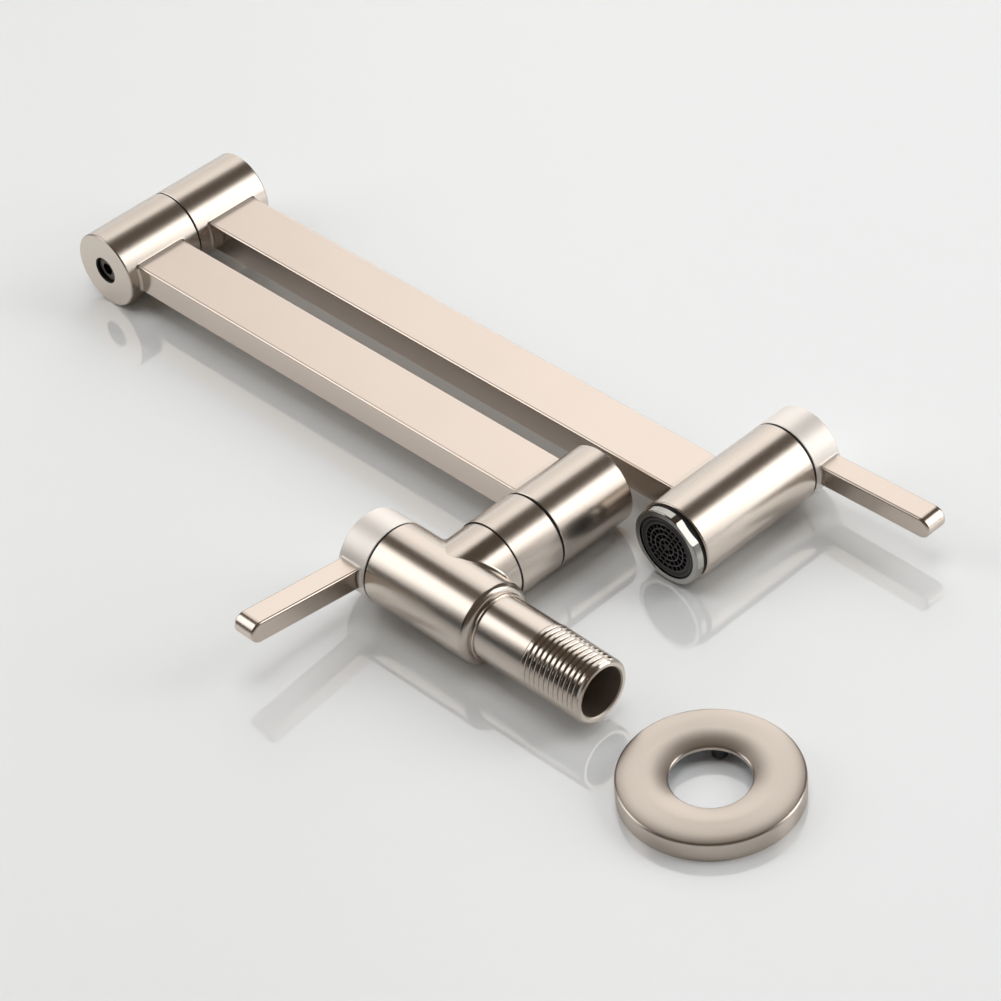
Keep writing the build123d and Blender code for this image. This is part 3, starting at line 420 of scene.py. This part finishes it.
# %% Cut the thread
PITCH_MM, THREAD_MM = 1.814, 22.0
CREST_MM, TAPER, THREAD_DEPTH_MM = 10.42, 0.016, 0.6
GROOVE_SHARE, RUN_IN_TURNS, FIRST_ROW_MM = 0.46, 0.7, 0.05
END_MM, BORE_MM, SHOULDER_MM, MOUTH_BEVEL_MM = 9.3, 7.9, -19.5, 0.4
STEPS_ROUND, STEPS_PER_TURN = 160, 26


def thread_radius(along, turn):
    """Crest radius less taper, less a V groove over a share of each pitch. The far end is bevelled."""
    phase = (along / PITCH_MM - turn / (2 * pi)) % 1
    groove = np.clip(1 - np.abs(2 * phase - 1) / GROOVE_SHARE, 0, 1)
    run_in = np.clip(along / (RUN_IN_TURNS * PITCH_MM), 0, 1)
    bevel = END_MM + (THREAD_MM - along)
    return np.minimum(CREST_MM - TAPER * along - THREAD_DEPTH_MM * groove * run_in, bevel)


# Length and radius of the plain parts: spigot, ring on the valve's end and neck, then the mouth of the bore
foot = np.array([[-27.0, BORE_MM], [-27.0, 9.0], [SHOULDER_MM, 9.0], [SHOULDER_MM, 10.8], [-18.75, 10.8],
                 [-18.5, 10.55], [-18.5, 10.2], [-18.3, 10.2], [-0.6, 10.2], [-0.35, 10.2], [0.0, 10.0]])
mouth = np.array([[THREAD_MM, BORE_MM + MOUTH_BEVEL_MM], [THREAD_MM - MOUTH_BEVEL_MM, BORE_MM]])
turn = turns(STEPS_ROUND)
along = np.linspace(FIRST_ROW_MM, THREAD_MM, int(THREAD_MM / PITCH_MM * STEPS_PER_TURN))
reach = np.vstack([
    np.repeat(foot[:, 1:], STEPS_ROUND, axis=1),
    thread_radius(along[:, None], turn[None, :]),
    np.repeat(mouth[:, 1:], STEPS_ROUND, axis=1),
])
length = np.concatenate([foot[:, 0], along, mouth[:, 0]])[:, None]
nipple = turned("threaded_nipple", length, reach, turn, X_AXIS, (0, 0, 0), sharp_degrees=20)
row_kind = np.zeros(len(reach), dtype=np.int32)
row_kind[len(foot) - 1:-2] = 1
row_kind[-2:] = 2
nipple.data.polygons.foreach_set("material_index", np.repeat(row_kind, STEPS_ROUND))
for material in (valve_nickel, thread_nickel, bore_nickel):
    nipple.data.materials.append(material)
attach(nipple, "valve")
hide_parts("inlet_nipple")
print("thread of", round(THREAD_MM / PITCH_MM, 1), "turns in", len(nipple.data.polygons), "faces")

# %% [markdown]
# ## The wall plate
# The plate is pressed from sheet: an upright rim, a broad low crown and a small roll at the hole. The solid
# has a plain arch, so a finer plate stands for it here. Its profile is two powers: the crown falls slowly to
# the hole and ever faster to the rim. Two short curves join them to the upright edges. The back is a pale
# grey, as the hole shows.

# %% Press the plate
PLATE_MM, HOLE_MM, CREST_FROM_AXIS_MM = 26.3, 11.5, 18.5
CROWN_MM, RIM_FALL_MM, HOLE_FALL_MM, SHEET_MM = 6.5, 0.35, 1.1, 1.1
RIM_ROLL_MM, HOLE_ROLL_MM = 0.6, 0.5
PLATE_STEPS, TOP_ROWS, UNDER_ROWS, BEND_ROWS = 256, 60, 40, 9
# How far below an edge's top its bend starts and has its corner, the lip's depth, the underside's start
BEND_MM, BEND_CORNER_MM, LIP_MM, UNDER_STARTS_MM = 0.8, 0.15, 1.2, 0.3


def crown(reach):
    """Height of the crown: the crest less a fall with the 4th power outwards and the square inwards."""
    outward = (reach - CREST_FROM_AXIS_MM) / (PLATE_MM - RIM_ROLL_MM - CREST_FROM_AXIS_MM)
    inward = (CREST_FROM_AXIS_MM - reach) / (CREST_FROM_AXIS_MM - HOLE_MM)
    return CROWN_MM - RIM_FALL_MM * np.maximum(outward, 0) ** 4 - HOLE_FALL_MM * np.maximum(inward, 0) ** 2


def bend(start, corner, end):
    """A smooth bend: the start by (1 - t) squared, the corner by 2 t (1 - t), the end by t squared."""
    t = np.linspace(0, 1, BEND_ROWS)[:, None]
    return (1 - t) ** 2 * np.array(start) + 2 * t * (1 - t) * np.array(corner) + t ** 2 * np.array(end)


rim_reach, lip_reach = PLATE_MM - RIM_ROLL_MM, HOLE_MM + HOLE_ROLL_MM
top_reach = np.linspace(rim_reach, lip_reach, TOP_ROWS)
under_reach = np.linspace(lip_reach + UNDER_STARTS_MM, PLATE_MM - SHEET_MM, UNDER_ROWS)
rim_top, lip_top = float(crown(rim_reach)), float(crown(lip_reach))
profile = np.vstack([
    [[PLATE_MM, 0.0]],
    bend((PLATE_MM, rim_top - BEND_MM), (PLATE_MM, rim_top - BEND_CORNER_MM), (rim_reach, rim_top)),
    np.stack([top_reach, crown(top_reach)], axis=-1)[1:-1],
    bend((lip_reach, lip_top), (HOLE_MM, lip_top - BEND_CORNER_MM), (HOLE_MM, lip_top - BEND_MM)),
    [[HOLE_MM, lip_top - LIP_MM]],
    np.stack([under_reach, crown(under_reach) - SHEET_MM], axis=-1),
    [[PLATE_MM - SHEET_MM, 0.0]],
])
plate_foot = (PLATE_X, PLATE_Y, TABLE_Z)
plate = turned("pressed_plate", profile[:, 1:], profile[:, :1], turns(PLATE_STEPS), Z_AXIS, plate_foot,
               sharp_degrees=40)
plate.data.materials.append(plate_nickel)
plate.data.materials.append(plate_back_grey)
on_back = np.arange(len(profile)) >= len(profile) - len(under_reach) - 1
plate.data.polygons.foreach_set("material_index", np.repeat(on_back.astype(np.int32), PLATE_STEPS))
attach(plate, "wall_plate")
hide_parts("escutcheon")
print("plate in", len(plate.data.polygons), "faces")

# %% [markdown]
# ## The plate's tab
# A small tab hangs under the crown and shows in the hole. Its dark grey is painted shade, for the shade
# under the crown. It is a plain round peg, which Blender makes as a cone with two equal ends.

# %% Hang the tab
TAB_MM, TAB_FOOT_MM, TAB_TOP_MM = 2.3, 0.8, 5.2
TAB_FROM_AXIS_MM, TAB_AZIMUTH = 14.1, radians(122.5)

tab_way = Vector((cos(TAB_AZIMUTH), sin(TAB_AZIMUTH), 0))
tab_level = Vector((0, 0, (TAB_FOOT_MM + TAB_TOP_MM) / 2000))
tab_middle = Vector(plate_foot) + tab_level + tab_way * TAB_FROM_AXIS_MM / 1000
tab_form = bmesh.new()
bmesh.ops.create_cone(tab_form, cap_ends=True, segments=64, radius1=TAB_MM / 1000, radius2=TAB_MM / 1000,
                      depth=(TAB_TOP_MM - TAB_FOOT_MM) / 1000, matrix=Matrix.Translation(tab_middle))
tab_mesh = bpy.data.meshes.new("plate_tab")
tab_form.to_mesh(tab_mesh)
tab_form.free()
tab_mesh.materials.append(tab_painted_shade)
tab = bpy.data.objects.new("plate_tab", tab_mesh)
bpy.context.scene.collection.objects.link(tab)
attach(tab, "wall_plate")
print("tab of", len(tab_mesh.polygons), "faces")

# %% [markdown]
# ## The collar's joint
# The collar meets the neck in a narrow groove, dark with shade. A black ring of plain rectangular section
# is laid in it as painted shade, just under the surface of the tubes.

# %% Fill the collar's joint with painted shade
PIVOT_X = -0.0405
JOINT_STEPS = 192
JOINT_MM = np.array([[12.99, -0.14], [12.99, 0.14], [12.60, 0.14], [12.60, -0.14]])
joint_y = min(corner[1] for corner in nodes["swivel_collar"].bound_box)
groove_shade_ring = turned("collar_groove_painted_shade", JOINT_MM[:, 1:], JOINT_MM[:, :1], turns(JOINT_STEPS), Y_AXIS,
                    (PIVOT_X, joint_y, 0), sharp_degrees=40)
groove_shade_ring.data.materials.append(moulded_acetal)
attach(groove_shade_ring, "valve")
print("joint ring at y", round(joint_y * 1000, 2), "mm")

# %% [markdown]
# ## Ribs on the aerator's grille
# In the photograph the grille's ring-shaped webs stand out as fine pale lines. Each line is a low rounded
# rib on such a web: a half round carried round the spout's axis, with its foot a little sunk in the web.
# The ribs are paler than the grille, a painted highlight along the ring webs.

# %% Mould the ribs
RIB_MM, RIB_HALF_MM, RIB_HIGH_MM, RIB_SUNK_MM = (2.7, 4.5, 6.3, 8.1, 9.6), 0.25, 0.18, 0.05
RIB_STEPS = 128
grille_y = min(corner[1] for corner in nodes["aerator_grille"].bound_box)
arc = np.linspace(pi, 2 * pi, 7)
half_round = np.stack([RIB_HALF_MM * np.cos(arc), RIB_HIGH_MM * np.sin(arc)], axis=-1)
rib_profile = np.vstack([[[RIB_HALF_MM, RIB_SUNK_MM], [-RIB_HALF_MM, RIB_SUNK_MM]], half_round])
for number, rib_mm in enumerate(RIB_MM, 1):
    rib = turned(f"grille_rib_{number}", rib_profile[:, 1:], rib_mm + rib_profile[:, :1], turns(RIB_STEPS),
                 Y_AXIS, (SPOUT_X, grille_y, 0), sharp_degrees=60)
    rib.data.materials.append(rib_painted_highlight)
    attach(rib, "upper_arm")
print(len(RIB_MM), "ribs on the grille")

# %% [markdown]
# ## The table
# The tap lies on a glossy white table top. Most of what the eye sees there is the white of the table
# itself. The rest is the softbox behind, mirrored in its gloss, with the tap's own faint mirror image
# standing in it.

# %% Lay the table top
TABLE_HALF = 4.0
TABLE_WHITE = ("#EFF3F5", "#F2F5F6")
table_material, tree, place = new_material("polished_white_table")
waves = add(tree, "ShaderNodeTexNoise", {"Vector": place}, Scale=3.0, Detail=1.0)
white = blend(tree, waves.outputs["Fac"], TABLE_WHITE)
gloss = add(tree, "ShaderNodeBsdfPrincipled", {"Base Color": white}, Roughness=0.05, IOR=1.9)
add(tree, "ShaderNodeOutputMaterial", {"Surface": gloss.outputs[0]})
corners = TABLE_HALF * np.array([[-1, -1, 0], [1, -1, 0], [1, 1, 0], [-1, 1, 0]]) + [0, 0, TABLE_Z]
table_mesh = bpy.data.meshes.new("table_top")
table_mesh.from_pydata(corners.tolist(), [], [(0, 1, 2, 3)])
table_mesh.materials.append(table_material)
table = bpy.data.objects.new("table_top", table_mesh)
bpy.context.scene.collection.objects.link(table)
print("table top at", TABLE_Z, "m")

# %% [markdown]
# ## Studio light
# Metal shows its surroundings, so the lamps are placed by what the housings mirror: a white softbox on the
# right, a tall one behind that dims towards one end, one on the left, and dark gaps between them that draw
# the brown bands along the tubes. Each is given by the angles at which the tap sees it, which is how they
# were read off the tubes. Two more lamps, one behind and one overhead, light only what scatters light, such
# as the table. The metal doesn't mirror them, because no such lamp shows in the photograph's metal.

# %% Hang the lamps
MIDDLE = Vector((-0.09, 0.04, TABLE_Z))
FADE_STARTS, FADE_ENDS = 0.45, 0.85
OVERHEAD_SIDE, OVERHEAD_HIGH, OVERHEAD_RADIANCE = 0.8, 1.5, 2.9


def hang(name, place, facing, width, height, radiance, mirrored):
    """An area lamp that the camera doesn't see. Its watts are radiance times pi times its area."""
    lamp = bpy.data.lights.new(name, "AREA")
    lamp.shape = "RECTANGLE"
    lamp.size, lamp.size_y = width, height
    lamp.energy = radiance * pi * width * height
    holder = bpy.data.objects.new(name, lamp)
    holder.matrix_world = Matrix.Translation(place) @ facing.to_track_quat("-Z", "Y").to_matrix().to_4x4()
    holder.visible_camera = False
    holder.visible_glossy = mirrored
    bpy.context.scene.collection.objects.link(holder)
    return lamp


def softbox(name, azimuth, spread, low, high, distance, radiance, mirrored=True, fade=None):
    """An upright lamp seen from the middle over a spread of azimuth and from a low to a high elevation.

    Its edges are the distance times the tangents of those angles. A fade is the share of its light that is
    left at one end, reached smoothly on the way across.
    """
    bottom, top = distance * tan(radians(low)), distance * tan(radians(high))
    width = 2 * distance * tan(radians(spread / 2))
    out = Vector((cos(radians(azimuth)), sin(radians(azimuth)), 0))
    place = MIDDLE + out * distance + Vector((0, 0, (bottom + top) / 2))
    lamp = hang(name, place, -out, width, top - bottom, radiance, mirrored)
    if fade:
        lamp.use_nodes = True
        tree = lamp.node_tree
        skin = add(tree, "ShaderNodeNewGeometry")
        split = add(tree, "ShaderNodeSeparateXYZ", {"Vector": skin.outputs["Parametric"]})
        share = add(tree, "ShaderNodeMapRange", {"Value": split.outputs["X"]},
                    interpolation_type="SMOOTHSTEP", From_Min=FADE_STARTS, From_Max=FADE_ENDS,
                    To_Min=1.0, To_Max=fade)
        tree.links.new(share.outputs["Result"], tree.nodes["Emission"].inputs["Strength"])


# Name, azimuth, spread, lowest and highest elevation in degrees, distance in metres, radiance
softbox("right_softbox", 46, 28, 3, 50, 1.25, 2.6)
softbox("back_softbox", 136, 40, 14, 55, 4.0, 1.4, fade=0.7)
softbox("back_softbox_foot", 136, 40, 2, 14, 4.0, 0.85)
softbox("left_softbox", -145, 40, 13, 54, 1.0, 2.1)
softbox("rear_fill", 100, 130, 25, 65, 3.0, 0.8, mirrored=False)
hang("overhead_softbox", MIDDLE + Vector((0, 0, OVERHEAD_HIGH)), Vector((0, 0, -1)), OVERHEAD_SIDE,
     OVERHEAD_SIDE, OVERHEAD_RADIANCE, mirrored=False)
print("lamps hung")

# %% [markdown]
# ## The room
# Beyond the lamps the room is dim, with a paler band along the horizon. Behind the photographer's left
# shoulder a dark card hides that band, and it draws the dark streak low on the valve.

# %% Paint the room
ROOM_BAND, ROOM_DIM = "#BCBEBF", "#5C5248"
BAND_STARTS, BAND_ENDS = 0.05, 0.25
CARD_AZIMUTH = radians(-126)
CARD_OUTER, CARD_INNER, CARD_LIGHT = cos(radians(50)), cos(radians(25)), 0.1

world = bpy.data.worlds.new("dim_studio")
bpy.context.scene.world = world
world.use_nodes = True
tree = world.node_tree
tree.nodes.clear()
way = add(tree, "ShaderNodeTexCoord").outputs["Generated"]
split = add(tree, "ShaderNodeSeparateXYZ", {"Vector": way})
band = add(tree, "ShaderNodeMapRange", {"Value": split.outputs["Z"]}, interpolation_type="SMOOTHSTEP",
           From_Min=BAND_STARTS, From_Max=BAND_ENDS)
facing = add(tree, "ShaderNodeVectorMath", {0: way}, operation="DOT_PRODUCT")
facing.inputs[1].default_value = (cos(CARD_AZIMUTH), sin(CARD_AZIMUTH), 0)
card = add(tree, "ShaderNodeMapRange", {"Value": facing.outputs["Value"]}, interpolation_type="SMOOTHSTEP",
           From_Min=CARD_OUTER, From_Max=CARD_INNER, To_Min=1.0, To_Max=CARD_LIGHT)
back = add(tree, "ShaderNodeBackground", {
    "Color": blend(tree, band.outputs["Result"], (ROOM_BAND, ROOM_DIM)),
    "Strength": card.outputs["Result"],
})
add(tree, "ShaderNodeOutputWorld", {"Surface": back.outputs[0]})
print("room ready")
